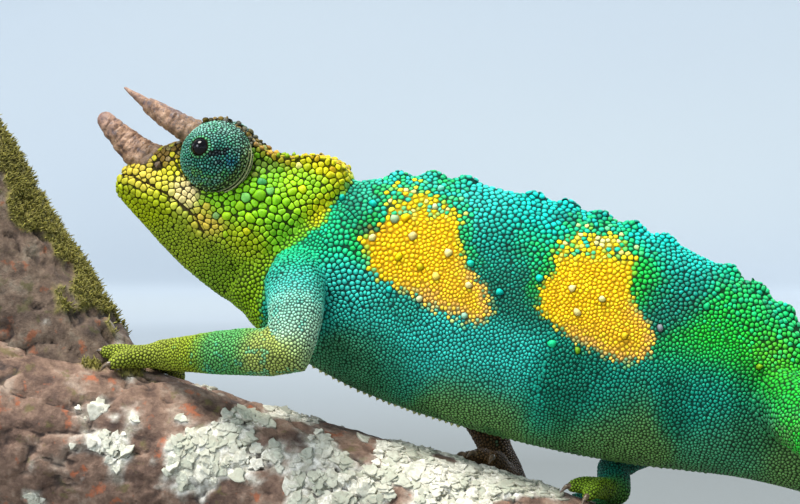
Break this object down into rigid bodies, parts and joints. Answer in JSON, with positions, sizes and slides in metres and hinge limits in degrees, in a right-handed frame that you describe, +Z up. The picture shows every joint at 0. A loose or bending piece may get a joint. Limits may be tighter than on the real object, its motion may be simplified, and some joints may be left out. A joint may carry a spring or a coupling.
{
  "type": "three-horned chameleon",
  "caption": "Life-size horned chameleon with turret eyes and a coiled tail, walking up a forked limb on a display stand.",
  "frame": {"origin": "centre of the stand base's underside", "axes": "+Z up; the animal faces -X and its left side is towards -Y"},
  "size_m": [0.2016, 0.078, 0.1318],
  "materials": {
    "green_scales": "fine green and yellow scales, satin",
    "teal_scales": "fine teal scales with two yellow-green patches on each flank, satin",
    "olive_scales": "fine yellow-green scales, satin",
    "eye_scales": "very fine blue-green granules with dark rays, satin",
    "horn": "ringed brown horn, matte",
    "eye": "black, wet gloss",
    "bark": "rough pinkish brown bark with moss and lichen",
    "oiled_wood": "dark oiled wood, satin",
    "steel": "brushed"
  },
  "bodies": {
    "root": {"head": "green_scales", "lower_jaw": "green_scales", "neck": "green_scales", "eye_turret_left": "eye_scales", "eye_turret_right": "eye_scales", "eyeball_left": "eye", "eyeball_right": "eye", "horn_nose": "horn", "horn_brow_left": "horn", "horn_brow_right": "horn", "torso_chest": "teal_scales", "torso_belly": "teal_scales", "torso_hips": "teal_scales", "tail_1": "teal_scales", "tail_2": "teal_scales", "tail_3": "teal_scales", "tail_4": "teal_scales", "tail_5": "teal_scales", "foreleg_left_upper": "teal_scales", "foreleg_left_lower": "green_scales", "hand_left": "olive_scales", "foreleg_right_upper": "teal_scales", "foreleg_right_lower": "green_scales", "hand_right": "olive_scales", "hindleg_left_upper": "teal_scales", "hindleg_left_lower": "green_scales", "foot_left": "olive_scales", "hindleg_right_upper": "teal_scales", "hindleg_right_lower": "green_scales", "foot_right": "olive_scales", "perch_limb": "bark", "perch_fork": "bark", "stand_base": "oiled_wood", "stand_rod_front": "steel", "stand_rod_rear": "steel"}
  },
  "joints": []
}
